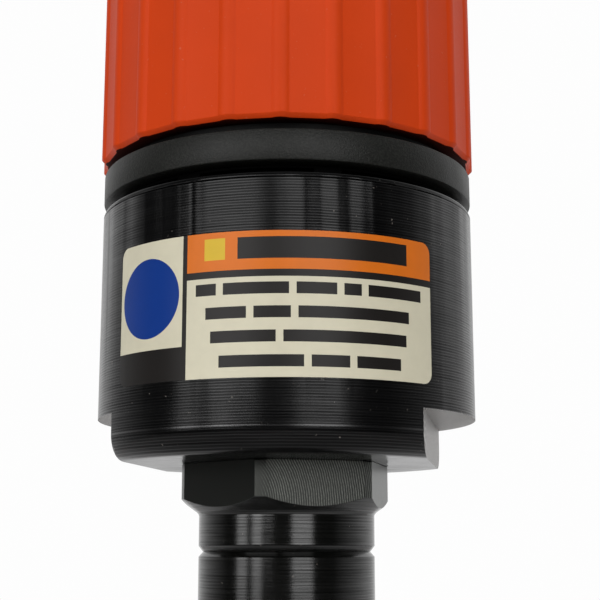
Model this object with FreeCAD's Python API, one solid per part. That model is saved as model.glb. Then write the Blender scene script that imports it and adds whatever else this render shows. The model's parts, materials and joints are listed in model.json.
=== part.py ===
import FreeCAD
import Part
import math
import os
from FreeCAD import Vector

# Straight air die grinder with a rear exhaust and a lever throttle. Millimetres.
# +Z runs along the tool axis from the mouth of the air inlet (z = 0) to the collet.
# The lever is on the +Y side, the label on the -Y side. Directions round the tool are
# degrees from -Y towards +X.

# ---- clearances
run_gap = 0.05           # radial, between pieces that turn or slide on each other
end_gap = 0.1            # axial, between pieces that turn past each other
free_gap = 0.3           # between pieces that only pass each other
pin_gap = 0.08           # between the lever and the push pin's head
over = 1.0               # how far a cutter runs past the face it opens
thread_chamfer = 0.5     # start of every thread
drill_angle = 118.0      # cone at the end of a drilled hole

# ---- diameters and walls of the shell
body_d = 44.0            # valve housing and exhaust ring
ring_wall = 2.0          # exhaust ring over the motor housing
grip_wall = 2.5          # grip over the motor housing, at its ribs
tube_wall = 3.0          # motor housing
joint_step = 1.5         # motor housing down to the joint thread
collar_step = 0.5        # grip down to the front collar
tube_d = body_d - 2 * ring_wall
grip_d = tube_d + 2 * grip_wall
tube_bore_d = tube_d - 2 * tube_wall
joint_thread_d = tube_d - 2 * joint_step
collar_d = grip_d - 2 * collar_step

# ---- inlet swivel
neck_d = 20.3            # inlet swivel and the bushing's neck
swivel_h = 16.15         # inlet mouth to the joint between swivel and bushing
swivel_chamfer = 0.6
inlet_thread_d = 11.4    # 1/4 inch pipe thread, minor diameter
inlet_thread_h = 11.0
swivel_bore_d = 8.0
swivel_flats = 17.0
swivel_flats_h = 7.0
spigot_d = 14.0
spigot_h = 8.8
spigot_chamfer = 0.4
parting_v = 0.5          # half width and depth of the V groove at the joint
seal_cord_d = 1.0
seal_groove_w = 1.3
snap_w = 1.0
snap_depth = 0.7         # of the snap ring, into each wall
snap_back = 2.75         # spigot's end to the snap ring
snap_mouth = 2.0         # gap in the split ring

# ---- inlet bushing
bushing_neck_h = 4.35
bushing_hex_h = 5.5
bushing_hex = 22.0
bushing_corner_d = 24.7  # turned circle over the hexagon's corners
bushing_cone_back = 0.1  # the cone to the corners starts this far down the neck
bushing_cone_angle = 35.0
bushing_turn = 26.7      # direction of one hexagon face
bushing_wall = 2.0       # round the spigot
bushing_thread_h = 10.4
bushing_thread_d = spigot_d + 2 * bushing_wall
bushing_bore_d = 10.0
screen_t = 0.5
screen_rim = 1.0
screen_hole_d = 1.3
screen_pitch = 1.92      # between the rings of holes

# ---- valve housing
housing_edge = 2.75      # rounding of the lower outer edge
housing_top_chamfer = 0.4
flats = 34.0             # across the two wrench flats
flats_h = 5.0
post_d = 27.0            # centre post that carries the air feed
thread_wall = 1.45       # between the exhaust chamber and the joint thread
joint_thread_h = 9.6
thread_runout = 0.6
airway_wall = 0.5        # bushing's socket to the valve bore
chamber_wall = 1.5       # valve bore to the exhaust chamber
chamber_floor = 3.25      # exhaust chamber floor below the housing's top face
post_recess_h = 1.5      # in the post, under the rear bearing
post_recess_step = 1.5   # rear bearing's outside down to that recess
port_count = 8
port_w = 12.5
port_land = 0.25         # above and below a port
airway_d = 9.0
airway_y = -2.5
feed_d = 3.6
feed_wall = 1.2          # feed hole to the post's surface
feed_y = post_d / 2.0 - feed_wall - feed_d / 2.0
label_t = 0.1
label_up = 7.5           # housing's lower face to the label
label_h = 15.3
label_from = -45.0
label_to = 54.0
label_corner = 1.2

# ---- throttle lever
pivot_out = 3.5          # housing's surface to the pivot
lever_arm = 12.0         # pivot to push pin, along the axis
lever_closed = 1.0       # squeezed lever to the tool axis, degrees
lever_squeeze = 9.0      # travel of the lever, degrees
lever_w = 12.4
lever_t = 3.0
lever_in = 1.2           # blade's inner face, from the pivot's line
lever_l = 94.0
lever_tip_r = 16.0
lever_tip_angle = 38.0
lever_tip_land = 0.5     # half of the tip's straight end
lever_edge_r = 0.9
knuckle_d = 6.4
lever_pin_d = 3.0
ear_t = 3.0
ear_d = 9.0
ear_root = 6.0           # how deep the ears run into the housing

# ---- throttle valve, across the housing
valve_bore_d = 13.0
valve_bore_end = -7.0
plug_l = 9.5
plug_in = 0.5            # plug's face below the housing's surface
plug_slot_w = 1.6
plug_slot_depth = 1.2
plug_cord_d = 0.9
plug_groove_in = 1.5
plug_groove_w = 1.2
push_pin_d = 4.0
pin_head_r = 2.5
pin_cord_d = 0.8
pin_groove_w = 1.2
seat_y = 4.0
seat_t = 2.0
seat_hole_d = 8.0
poppet_d = 10.4
poppet_t = 2.4
stem_l = 4.0
guide_l = 1.2            # spring guide behind the poppet
guide_gap = 0.3
spring_d = 7.6
spring_wire = 0.7
spring_halves = 11       # half turns

# ---- exhaust slot, ring and felt
slot_h = 1.2
ring_h = 3.45
ring_chamfer = 0.2
ring_top_edge = 0.15
lip_h = 0.75             # captive lip
baffle_gap = 0.15
baffle_t = 0.9
baffle_y = 4.0           # the baffle closes the slot beyond this y
baffle_join = 0.3
muffler_up = 0.5
muffler_h = 5.0

# ---- grip and front collar
recess_h = 1.2           # between the exhaust ring and the grip
grip_h = 80.0
rib_count = 24
rib_angle = 5.0          # width of a rib, degrees
rib_h = 0.32
rib_first = 8.0          # direction of the first rib
grip_chamfer = 0.45
collar_h = 8.9
collar_back_edge = 0.6
collar_front_edge = 0.8
collar_flat_wall = 2.0   # left between the flats and the bore
collar_flats_h = 5.5
joint_relief = 0.4       # joint bore beyond the thread
joint_cone_h = 0.6

# ---- air motor
end_plate_h = 10.0
gasket_t = 1.0
cylinder_h = 40.0
cylinder_offset = 1.7
liner_wall = 1.4         # at its thinnest
rotor_gap = 0.2          # rotor to cylinder, at the closest
vane_count = 5
vane_t = 1.5
vane_slot_depth = 7.0
vane_back = 0.55         # left behind a vane in its slot
rear_bearing = (8.0, 16.0, 5.0, 1.35, 9)     # bore, outside, width, ball radius, balls
front_bearing = (12.0, 28.0, 8.0, 2.4, 8)
race_open = 0.55         # half the opening between the races, in ball radii
relief_share = 0.3       # plate's recess beyond the pitch circle, in ball radii
shaft_gap = 0.6
front_plate_lip = 3.0
dowel_d = 2.5
dowel_in = 4.0           # in the rear plate
dowel_end = 1.0          # front plate's face to the dowel's end
washer_t = 1.2
washer_w = 2.9
washer_gap = 0.1
kidney_wall = 0.4
kidney_depth = 1.6
kidney_from = 145.0
kidney_to = 185.0
feed_end = 1.0           # feed hole's end to the cylinder
exhaust_angle = -30.0
exhaust_groove_w = 8.0
exhaust_groove_depth = 1.3
exhaust_groove_end = 3.0
exhaust_hole_d = 3.0
exhaust_holes = 6
exhaust_margin = 4.0     # cylinder's end to the first hole

# ---- collet holder
holder_d = 18.0
holder_neck_h = 1.5      # cap face to the spindle flats
holder_flats = 15.0
holder_flats_h = 5.0
holder_shoulder_h = 1.5
holder_thread_d = 15.0
holder_thread_h = 8.0
holder_knockout_h = 12.0
holder_knockout_step = 0.5
stud_l = 11.0            # rotor's thread inside the collet holder
stud_end = 0.5
spacer_d = 17.0
spacer_h = 3.5

# ---- front cap
nose_d = 31.0            # clamping nose
cap_hex_h = 7.0
cap_nose_h = 10.0
cap_cone_h = 3.0
cap_shoulder = 2.0       # hexagon's corners beyond the thread
cap_edge_h = 1.0
cap_edge_w = 1.5
cap_lip_w = 3.0          # front face round the spindle
cap_room = 1.0           # radial, round the holder
cap_room_end = 3.0
cap_pocket_end = 5.0
seal_back = 1.5          # front face to the felt
dust_seal_h = 3.0
dust_seal_w = 2.0
cap_corner_d = tube_bore_d + 2 * cap_shoulder
cap_hex = tube_bore_d    # across flats, as wide as the thread behind it
cap_front_d = holder_d + 2 * cap_lip_w
dust_seal_d = holder_d + 2 * dust_seal_w

# ---- collet and its nut
collet_bore_d = 6.0
collet_back_d = 8.4
collet_front_d = 11.2
collet_h = 23.5
collet_lip_h = 1.0
collet_cone_h = 2.0
collet_cone_w = 1.4
collet_slot = 0.8
collet_slot_h = 20.0
collet_slots = 3
nut_hex = 19.0
nut_corner_off = 0.25
nut_edge_h = 0.7
nut_edge_w = 1.2
nut_nose_d = 16.4
nut_nose_edge = 1.2
nut_front_h = 2.0        # nut beyond the collet
nut_gap = 0.1            # nut to collet
nut_relief = 2.0

# ---- heights of the joints between pieces
bushing_z = swivel_h
spigot_top = bushing_z - end_gap / 2.0 + spigot_h
snap_z = spigot_top - snap_back
swivel_seal_z = (bushing_z + snap_z) / 2.0
hex_z = bushing_z + bushing_neck_h
housing_z = hex_z + bushing_hex_h
bushing_top = housing_z + bushing_thread_h
screen_z = bushing_top - screen_t
valve_z = bushing_top + thread_runout + airway_wall + valve_bore_d / 2.0
chamber_z = valve_z + valve_bore_d / 2.0 + chamber_wall
housing_top = chamber_z + chamber_floor
label_z = housing_z + label_up
ring_z = housing_top + slot_h
ring_top = ring_z + ring_h
grip_z = ring_top + recess_h
grip_top = grip_z + grip_h
cap_z = grip_top + collar_h
cap_front = cap_z + cap_hex_h + cap_nose_h + cap_cone_h
seal_z = cap_front - seal_back - dust_seal_h
tube_z = ring_z + lip_h + run_gap
joint_shoulder = ring_z - run_gap
post_top = joint_shoulder + joint_thread_h
rear_plate_z = post_top + gasket_t
cylinder_z = rear_plate_z + end_plate_h
front_plate_z = cylinder_z + cylinder_h
front_bearing_z = front_plate_z + front_plate_lip
washer_z = front_bearing_z + front_bearing[2]
cap_back = washer_z + washer_t
spacer_z = washer_z
holder_z = spacer_z + spacer_h
holder_flats_z = cap_front + holder_neck_h
holder_shoulder_z = holder_flats_z + holder_flats_h
holder_thread_z = holder_shoulder_z + holder_shoulder_h
holder_top = holder_thread_z + holder_thread_h
collet_taper_h = collet_h - collet_cone_h - collet_lip_h
collet_lip = holder_top + collet_lip_h

# ---- places across the throttle valve and the lever
pivot_y = body_d / 2.0 + pivot_out
pivot_z = valve_z - lever_arm
lever_angle = math.radians(lever_closed + lever_squeeze)     # at rest
pin_travel = lever_arm * math.radians(lever_squeeze)
pin_top = pivot_y + (lever_arm * math.sin(lever_angle) - lever_in) / math.cos(lever_angle) - pin_gap
poppet_y = seat_y - poppet_t
pin_foot = seat_y + stem_l
plug_out = body_d / 2.0 - plug_in
plug_back = plug_out - plug_l
pin_seal_y = plug_out - plug_l / 2.0 + pin_travel / 2.0
half_slot = lever_w / 2.0 + free_gap / 2.0
ear_x = half_slot + ear_t

# ---- sizes inside the motor
cylinder_bore_d = tube_bore_d - 2 * (liner_wall + cylinder_offset)
rotor_d = cylinder_bore_d - 2 * (cylinder_offset + rotor_gap)
dowel_x = -(tube_bore_d / 2.0 + cylinder_bore_d / 2.0 - cylinder_offset) / 2.0
chamber_d = joint_thread_d - 2 * thread_wall
post_recess_d = rear_bearing[1] - 2 * post_recess_step

up = Vector(0, 0, 1)
across = Vector(1, 0, 0)
centre = Vector(0, 0, 0)


def rod(d, z0, z1, x=0.0, y=0.0):
    """Round bar along Z."""
    return Part.makeCylinder(d / 2.0, z1 - z0, Vector(x, y, z0))


def pipe(d, bore, z0, z1):
    """Round tube along Z."""
    return rod(d, z0, z1).cut(rod(bore, z0 - over, z1 + over))


def cross_rod(d, y0, y1, z):
    """Round bar along Y, at height z."""
    return Part.makeCylinder(d / 2.0, y1 - y0, Vector(0, y0, z), Vector(0, 1, 0))


def side_rod(d, reach, y=0.0, z=0.0):
    """Round bar along X, reaching as far to both sides."""
    return Part.makeCylinder(d / 2.0, 2 * reach, Vector(-reach, y, z), across)


def turned(points):
    """Solid of revolution from (radius, z) points, in order round the section."""
    corners = [Vector(r, 0, z) for r, z in points]
    corners.append(corners[0])
    return Part.Face(Part.makePolygon(corners)).revolve(centre, up, 360)


def cone(d0, d1, z0, z1):
    """Round bar along Z whose diameter changes from d0 to d1."""
    return Part.makeCone(d0 / 2.0, d1 / 2.0, z1 - z0, Vector(0, 0, z0))


def facing(angle, radius=1.0, z=0.0):
    """Point in one direction from the tool axis."""
    a = math.radians(angle)
    return Vector(radius * math.sin(a), -radius * math.cos(a), z)


def spun(shape, angle):
    """Copy of a shape turned about the tool axis."""
    copy = shape.copy()
    copy.rotate(centre, up, angle)
    return copy


def hexagon(width, z0, z1, turn=0.0):
    """Hexagonal bar with one face towards the direction turn."""
    reach = width / math.sqrt(3.0)
    corners = [facing(turn + 30 + 60 * i, reach, z0) for i in range(7)]
    return Part.Face(Part.makePolygon(corners)).extrude(Vector(0, 0, z1 - z0))


def box(x0, x1, y0, y1, z0, z1):
    """Box between two corners."""
    return Part.makeBox(x1 - x0, y1 - y0, z1 - z0, Vector(x0, y0, z0))


def flats_cut(width, d, z0, z1):
    """What two flats facing +X and -X take off a round bar."""
    slab = box(-width / 2.0, width / 2.0, -d, d, z0, z1)
    return rod(d + 2 * over, z0, z1).cut(slab)


def ring_groove(outside, floor, z0, z1):
    """Groove round a bar along Z."""
    return pipe(outside + 2 * over, floor, z0, z1)


def cross_groove(outside, floor, y0, y1):
    """Groove round a bar along Y at the valve's height."""
    return cross_rod(outside + 2 * over, y0, y1, valve_z).cut(cross_rod(floor, y0 - over, y1 + over, valve_z))


def cross_torus(outside, cord_d, y):
    """O-ring round the valve's axis."""
    ring = Part.makeTorus((outside - cord_d) / 2.0, cord_d / 2.0, centre, Vector(0, 1, 0))
    ring.translate(Vector(0, y, valve_z))
    return ring


# ---- air inlet

def inlet_swivel():
    """Threaded swivel: the hose fitting screws in, and the tool turns round it."""
    r = neck_d / 2.0
    spigot_r = spigot_d / 2.0
    top = bushing_z - end_gap / 2.0
    body = turned([(0, 0), (r - swivel_chamfer, 0), (r, swivel_chamfer), (r, top - parting_v),
                   (r - parting_v, top), (spigot_r, top), (spigot_r, spigot_top - spigot_chamfer),
                   (spigot_r - spigot_chamfer, spigot_top), (0, spigot_top)])
    drill_h = (inlet_thread_d - swivel_bore_d) / 2.0 / math.tan(math.radians(drill_angle / 2.0))
    half = seal_groove_w / 2.0
    snap_floor = spigot_d - 2 * (snap_depth + run_gap)
    return body.cut([
        rod(swivel_bore_d, -over, spigot_top + over),
        rod(inlet_thread_d, -over, inlet_thread_h),
        cone(inlet_thread_d, swivel_bore_d, inlet_thread_h, inlet_thread_h + drill_h),
        flats_cut(swivel_flats, neck_d, -over, swivel_flats_h),
        ring_groove(spigot_d, snap_floor, snap_z - end_gap, snap_z + snap_w + end_gap),
        ring_groove(spigot_d, spigot_d - 2 * seal_cord_d, swivel_seal_z - half, swivel_seal_z + half),
    ])


def swivel_seal():
    """O-ring on the swivel's spigot."""
    return Part.makeTorus((spigot_d - seal_cord_d) / 2.0, seal_cord_d / 2.0, Vector(0, 0, swivel_seal_z))


def swivel_snap_ring():
    """Split ring that keeps the swivel in the bushing."""
    outer = spigot_d + 2 * snap_depth
    ring = pipe(outer, spigot_d - 2 * snap_depth, snap_z, snap_z + snap_w)
    half = snap_mouth / 2.0
    return ring.cut(box(-half, half, 0, outer, snap_z - over, snap_z + snap_w + over))


def inlet_bushing():
    """Hexagon bushing screwed into the valve housing."""
    r = neck_d / 2.0
    low = bushing_z + end_gap / 2.0
    corner_r = bushing_corner_d / 2.0
    thread_r = bushing_thread_d / 2.0
    cone_z = hex_z - bushing_cone_back
    cone_top = cone_z + (corner_r - r) * math.tan(math.radians(bushing_cone_angle))
    shell = turned([(0, low), (r - parting_v, low), (r, low + parting_v), (r, cone_z),
                    (corner_r, cone_top), (corner_r, housing_z), (thread_r, housing_z),
                    (thread_r, bushing_top - thread_chamfer), (thread_r - thread_chamfer, bushing_top),
                    (0, bushing_top)])
    head = shell.common(hexagon(bushing_hex, low - over, housing_z, bushing_turn))
    stub = shell.common(rod(bushing_thread_d, low, bushing_top + over))
    body = head.fuse(stub).removeSplitter()
    return body.cut([
        rod(spigot_d + 2 * run_gap, low - over, bushing_z + spigot_h + free_gap),
        rod(bushing_bore_d, low, bushing_top + over),
        rod(spigot_d + 2 * snap_depth, snap_z, snap_z + snap_w),
        rod(bushing_bore_d + 2 * screen_rim, screen_z, bushing_top + over),
    ])


def inlet_screen():
    """Perforated disc that keeps dirt out of the valve."""
    disc = rod(bushing_bore_d + 2 * screen_rim, screen_z, bushing_top)
    holes = [rod(screen_hole_d, screen_z - over, bushing_top + over)]
    for ring in (1, 2):
        for i in range(6 * ring):
            spot = facing(60.0 * i / ring, ring * screen_pitch)
            holes.append(rod(screen_hole_d, screen_z - over, bushing_top + over, spot.x, spot.y))
    return disc.cut(holes)


# ---- valve housing

def ear_pair():
    """Two ears for the lever pin, joined to the housing."""
    half = ear_d / 2.0
    round_end = side_rod(ear_d, ear_x, pivot_y, pivot_z)
    root = box(-ear_x, ear_x, body_d / 2.0 - ear_root, pivot_y, pivot_z - half, pivot_z + half)
    slot = box(-half_slot, half_slot, 0, pivot_y + ear_d, pivot_z - ear_d, pivot_z + ear_d)
    slot = slot.cut(rod(body_d, pivot_z - ear_d - over, pivot_z + ear_d + over))
    return round_end.fuse(root).cut(slot)


def valve_housing():
    """Rear body: takes the inlet bushing, the throttle valve, the lever and the motor housing."""
    r = body_d / 2.0
    spigot_r = tube_d / 2.0
    thread_r = joint_thread_d / 2.0
    body = turned([(0, housing_z), (r, housing_z), (r, housing_top - housing_top_chamfer),
                   (r - housing_top_chamfer, housing_top), (spigot_r, housing_top),
                   (spigot_r, joint_shoulder), (thread_r, joint_shoulder),
                   (thread_r, post_top - thread_chamfer), (thread_r - thread_chamfer, post_top),
                   (0, post_top)])
    lower_edge = [e for e in body.Edges if abs(e.BoundBox.ZMax - housing_z) < 0.001 and len(e.Vertexes) == 1]
    body = body.makeFillet(housing_edge, lower_edge)
    body = body.cut(flats_cut(flats, body_d, housing_z - over, housing_z + flats_h))
    body = body.fuse(ear_pair()).removeSplitter()
    port_half = (joint_shoulder - housing_top) / 2.0 - port_land
    port_z = (joint_shoulder + housing_top) / 2.0
    port = box(-port_w / 2.0, port_w / 2.0, post_d / 2.0 + over, spigot_r + over,
               port_z - port_half, port_z + port_half)
    cuts = [spun(port, 360.0 * i / port_count) for i in range(port_count)]
    return body.cut(cuts + [
        side_rod(lever_pin_d, ear_x + over, pivot_y, pivot_z),
        pipe(chamber_d, post_d, chamber_z, post_top + over),
        rod(bushing_thread_d, housing_z - over, bushing_top + thread_runout),
        rod(airway_d, bushing_top, valve_z, 0, airway_y),
        cross_rod(valve_bore_d, valve_bore_end, body_d, valve_z),
        rod(feed_d, valve_z, post_top + over, 0, feed_y),
        rod(post_recess_d, post_top - post_recess_h, post_top + over),
    ])


def info_label():
    """Thin sticker bent round the housing."""
    r = body_d / 2.0
    edge = Part.makePolygon([facing(label_from, r), facing(label_from, r + label_t)])
    edge.translate(Vector(0, 0, label_z))
    strip = edge.revolve(centre, up, label_to - label_from)
    solid = strip.extrude(Vector(0, 0, label_h))
    if not isinstance(solid, Part.Solid):
        solid = solid.Solids[0]
    corners = []
    for edge in solid.Edges:
        along = edge.Vertexes[-1].Point - edge.Vertexes[0].Point
        if abs(along.Length - label_t) < 0.01:
            corners.append(edge)
    return solid.makeFillet(label_corner, corners)


# ---- throttle valve

def valve_seat():
    """Seat ring pressed into the valve bore."""
    ring = cross_rod(valve_bore_d, seat_y, seat_y + seat_t, valve_z)
    return ring.cut(cross_rod(seat_hole_d, seat_y - over, seat_y + seat_t + over, valve_z))


def throttle_valve():
    """Poppet with its stem, opened towards -Y."""
    head = cross_rod(poppet_d, poppet_y, seat_y, valve_z)
    stem = cross_rod(push_pin_d, poppet_y, pin_foot, valve_z)
    guide_d = spring_d - 2 * (spring_wire + guide_gap)
    guide = cross_rod(guide_d, poppet_y - guide_l, seat_y, valve_z)
    return head.fuse([stem, guide]).removeSplitter()


def push_pin():
    """Pin between the lever and the valve stem, with a rounded head and an O-ring groove."""
    bar = cross_rod(push_pin_d, pin_foot, pin_top - pin_head_r / 2.0, valve_z)
    ball = Part.makeSphere(pin_head_r, Vector(0, pin_top - pin_head_r, valve_z))
    head = ball.common(cross_rod(push_pin_d, pin_foot, pin_top + over, valve_z))
    half = pin_groove_w / 2.0
    groove = cross_groove(push_pin_d, push_pin_d - 2 * pin_cord_d, pin_seal_y - half, pin_seal_y + half)
    return bar.fuse(head).removeSplitter().cut(groove)


def pin_seal():
    """O-ring round the push pin."""
    return cross_torus(push_pin_d, pin_cord_d, pin_seal_y)


def valve_plug():
    """Threaded plug that closes the valve bore and guides the push pin."""
    plug = cross_rod(valve_bore_d, plug_back, plug_out, valve_z)
    half = plug_slot_w / 2.0
    slot = box(-valve_bore_d, valve_bore_d, plug_out - plug_slot_depth, plug_out + over,
               valve_z - half, valve_z + half)
    groove_y = plug_back + plug_groove_in
    return plug.cut([
        cross_rod(push_pin_d + 2 * run_gap, plug_back - over, plug_out + over, valve_z),
        slot,
        cross_groove(valve_bore_d, valve_bore_d - 2 * plug_cord_d, groove_y, groove_y + plug_groove_w),
    ])


def plug_seal():
    """O-ring between the plug and the housing."""
    return cross_torus(valve_bore_d, plug_cord_d, plug_back + plug_groove_in + plug_groove_w / 2.0)


def valve_spring():
    """Coil spring that closes the valve: half turns in planes tilted to and fro."""
    start = valve_bore_end + spring_wire / 2.0
    rise = (poppet_y - spring_wire / 2.0 - start) / spring_halves
    radius = (spring_d - spring_wire) / 2.0
    halves = []
    for i in range(spring_halves):
        side = 1 if i % 2 == 0 else -1
        foot = Vector(side * radius, start + i * rise, valve_z)
        far = Vector(-side * radius, start + (i + 1) * rise, valve_z)
        section = Part.Face(Part.Wire(Part.makeCircle(spring_wire / 2.0, foot, up)))
        axis = (far - foot).cross(up)
        halves.append(section.revolve((foot + far) * 0.5, axis, 180 * side))
    return halves[0].fuse(halves[1:])


# ---- throttle lever

def lever_pin():
    """Pin through the ears and the lever."""
    return side_rod(lever_pin_d, ear_x, pivot_y, pivot_z)


def throttle_lever():
    """Flat lever with a rolled root and an outward tip, built along Z and tilted to rest."""
    inner = -lever_in
    outer = lever_t - lever_in
    bend = math.radians(lever_tip_angle)
    half = bend / 2.0
    hub = lever_tip_r + outer
    far = lever_tip_r + lever_t

    def on_arc(radius, angle):
        return Vector(0, hub - radius * math.cos(angle), lever_l + radius * math.sin(angle))

    inside = Vector(0, inner, lever_l)
    outside = Vector(0, outer, lever_l)
    edges = [Part.makeLine(Vector(0, inner, 0), inside),
             Part.Arc(inside, on_arc(far, half), on_arc(far, bend)).toShape(),
             Part.makeLine(on_arc(far, bend), on_arc(lever_tip_r, bend)),
             Part.Arc(on_arc(lever_tip_r, bend), on_arc(lever_tip_r, half), outside).toShape(),
             Part.makeLine(outside, Vector(0, outer, 0)),
             Part.makeLine(Vector(0, outer, 0), Vector(0, inner, 0))]
    side = Part.Face(Part.Wire(edges))
    side.translate(Vector(-lever_w / 2.0, 0, 0))
    blade = side.extrude(Vector(lever_w, 0, 0))
    tip = on_arc(lever_tip_r + lever_t / 2.0, bend)
    rounding = [e for e in blade.Edges
                if abs(e.Length - lever_t) < 0.01 and abs(e.CenterOfMass.z - tip.z) < lever_t]
    blade = blade.makeFillet(lever_w / 2.0 - lever_tip_land, rounding)
    long_edges = [e for e in blade.Edges if e.Length > lever_l * 0.9 and e.CenterOfMass.y > 0]
    blade = blade.makeFillet(lever_edge_r, long_edges)
    knuckle = side_rod(knuckle_d, lever_w / 2.0)
    lever = blade.fuse(knuckle).cut(side_rod(lever_pin_d + 2 * run_gap, lever_w))
    lever.rotate(centre, across, -math.degrees(lever_angle))
    lever.translate(Vector(0, pivot_y, pivot_z))
    return lever


# ---- exhaust

def exhaust_ring():
    """Turnable deflector, held by its lip between the housing and the motor housing."""
    r = body_d / 2.0
    ride_r = tube_d / 2.0 + run_gap
    lip_r = joint_thread_d / 2.0 + run_gap
    ring = turned([(lip_r, ring_z), (r - ring_chamfer, ring_z), (r, ring_z + ring_chamfer),
                   (r, ring_top - ring_top_edge), (r - ring_top_edge, ring_top), (ride_r, ring_top),
                   (ride_r, ring_z + lip_h), (lip_r, ring_z + lip_h)])
    baffle_in = tube_d / 2.0 + baffle_gap
    baffle_z = housing_top + end_gap
    baffle_out = baffle_in + baffle_t
    baffle = turned([(baffle_in, baffle_z), (baffle_out, baffle_z),
                     (baffle_out, ring_z + baffle_join), (baffle_in, ring_z + baffle_join)])
    baffle = baffle.common(box(-body_d, body_d, baffle_y, body_d, housing_z, grip_z))
    return ring.fuse(baffle).removeSplitter()


def muffler_ring():
    """Felt ring in the exhaust chamber."""
    low = ring_z + muffler_up
    return pipe(chamber_d - 2 * run_gap, post_d + 2 * run_gap, low, low + muffler_h)


# ---- motor housing and grip

def motor_housing():
    """Steel tube that holds the air motor, with a front collar."""
    r = tube_d / 2.0
    bore = tube_bore_d / 2.0
    collar_r = collar_d / 2.0
    joint_r = joint_thread_d / 2.0
    joint_end = post_top + joint_relief
    tube = turned([(joint_r, tube_z), (r, tube_z), (r, grip_top), (collar_r - collar_back_edge, grip_top),
                   (collar_r, grip_top + collar_back_edge), (collar_r, cap_z - collar_front_edge),
                   (collar_r - collar_front_edge, cap_z), (bore, cap_z),
                   (bore, joint_end + joint_cone_h), (joint_r, joint_end)])
    collar_flats = tube_bore_d + 2 * collar_flat_wall
    return tube.cut(flats_cut(collar_flats, collar_d, cap_z - collar_flats_h, cap_z + over))


def grip_sleeve():
    """Fluted sleeve: flat faces between narrow convex ribs."""
    rib_r = grip_d / 2.0
    half = rib_angle / 2.0
    pitch = 360.0 / rib_count
    edge_r = rib_r - rib_h
    edges = []
    for i in range(rib_count):
        middle = rib_first + i * pitch
        left = facing(middle - half, edge_r, grip_z)
        crest = facing(middle, rib_r, grip_z)
        right = facing(middle + half, edge_r, grip_z)
        following = facing(middle + pitch - half, edge_r, grip_z)
        edges.append(Part.Arc(left, crest, right).toShape())
        edges.append(Part.makeLine(right, following))
    sleeve = Part.Face(Part.Wire(edges)).extrude(Vector(0, 0, grip_h))
    low = edge_r - grip_chamfer / 2.0
    high = rib_r + over
    envelope = turned([(0, grip_z), (low, grip_z), (high, grip_z + high - low),
                       (high, grip_top - high + low), (low, grip_top), (0, grip_top)])
    return sleeve.common(envelope).cut(rod(tube_d, grip_z - over, grip_top + over))


# ---- bearings

def race_relief(bearing):
    """Diameter of the recess that keeps a plate off the inner race."""
    return (bearing[0] + bearing[1]) / 2.0 + 2 * relief_share * bearing[3]


def race_pair(bearing, z):
    """Outer race, inner race and balls of one ball bearing, standing on height z."""
    bore, outside, width, ball_r, balls = bearing
    pitch_d = (bore + outside) / 2.0
    land = race_open * ball_r
    middle = z + width / 2.0
    track = Part.makeTorus(pitch_d / 2.0, ball_r + run_gap, Vector(0, 0, middle))
    outer = pipe(outside, pitch_d + 2 * land, z, z + width).cut(track)
    inner = pipe(pitch_d - 2 * land, bore, z, z + width).cut(track)
    ring = []
    for i in range(balls):
        ring.append(Part.makeSphere(ball_r, facing(360.0 * i / balls, pitch_d / 2.0, middle)))
    return outer, inner, Part.makeCompound(ring)


# ---- air motor

def exhaust_groove(z0, z1):
    """Axial groove that leads the exhaust back along the motor."""
    bore = tube_bore_d / 2.0
    half = exhaust_groove_w / 2.0
    return spun(box(bore - exhaust_groove_depth, bore + over, -half, half, z0, z1), exhaust_angle)


def housing_gasket():
    """Gasket between the centre post and the rear end plate."""
    disc = pipe(post_d, post_recess_d, post_top, rear_plate_z)
    return disc.cut(rod(feed_d, post_top - over, rear_plate_z + over, 0, feed_y))


def rear_end_plate():
    """Plate that carries the rear bearing and feeds the cylinder."""
    plate = rod(tube_bore_d, rear_plate_z, cylinder_z)
    lip = rear_plate_z + rear_bearing[2]
    kidney_d = cylinder_bore_d - 2 * kidney_wall
    kidney = pipe(kidney_d, 2 * feed_y - feed_d, cylinder_z - kidney_depth, cylinder_z + over)
    sector = Part.makePolygon([centre, facing(kidney_from, tube_d), facing(kidney_to, tube_d), centre])
    wedge = Part.Face(sector).extrude(Vector(0, 0, cylinder_z + 2 * over))
    return plate.cut([rod(rear_bearing[1], rear_plate_z - over, lip),
                      rod(rear_bearing[0] + 2 * shaft_gap, rear_plate_z, cylinder_z + over),
                      rod(race_relief(rear_bearing), rear_plate_z, lip + free_gap),
                      rod(feed_d, rear_plate_z - over, cylinder_z - feed_end, 0, feed_y),
                      kidney.common(wedge),
                      rod(dowel_d, cylinder_z - dowel_in, cylinder_z + over, dowel_x, 0),
                      exhaust_groove(rear_plate_z - over, cylinder_z + over)])


def cylinder_liner():
    """Eccentric cylinder with a row of exhaust holes."""
    liner = rod(tube_bore_d, cylinder_z, front_plate_z)
    cuts = [rod(cylinder_bore_d, cylinder_z - over, front_plate_z + over, cylinder_offset, 0),
            rod(dowel_d, cylinder_z - over, front_plate_z + over, dowel_x, 0),
            exhaust_groove(cylinder_z - over, front_plate_z - exhaust_groove_end)]
    step = (cylinder_h - 2 * exhaust_margin) / (exhaust_holes - 1)
    for i in range(exhaust_holes):
        height = cylinder_z + exhaust_margin + i * step
        hole = Part.makeCylinder(exhaust_hole_d / 2.0, tube_bore_d, Vector(0, 0, height), across)
        cuts.append(spun(hole, exhaust_angle))
    return liner.cut(cuts)


def locating_pin():
    """Dowel that lines up the end plates and the cylinder."""
    return rod(dowel_d, cylinder_z - dowel_in, front_bearing_z - dowel_end, dowel_x, 0)


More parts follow.
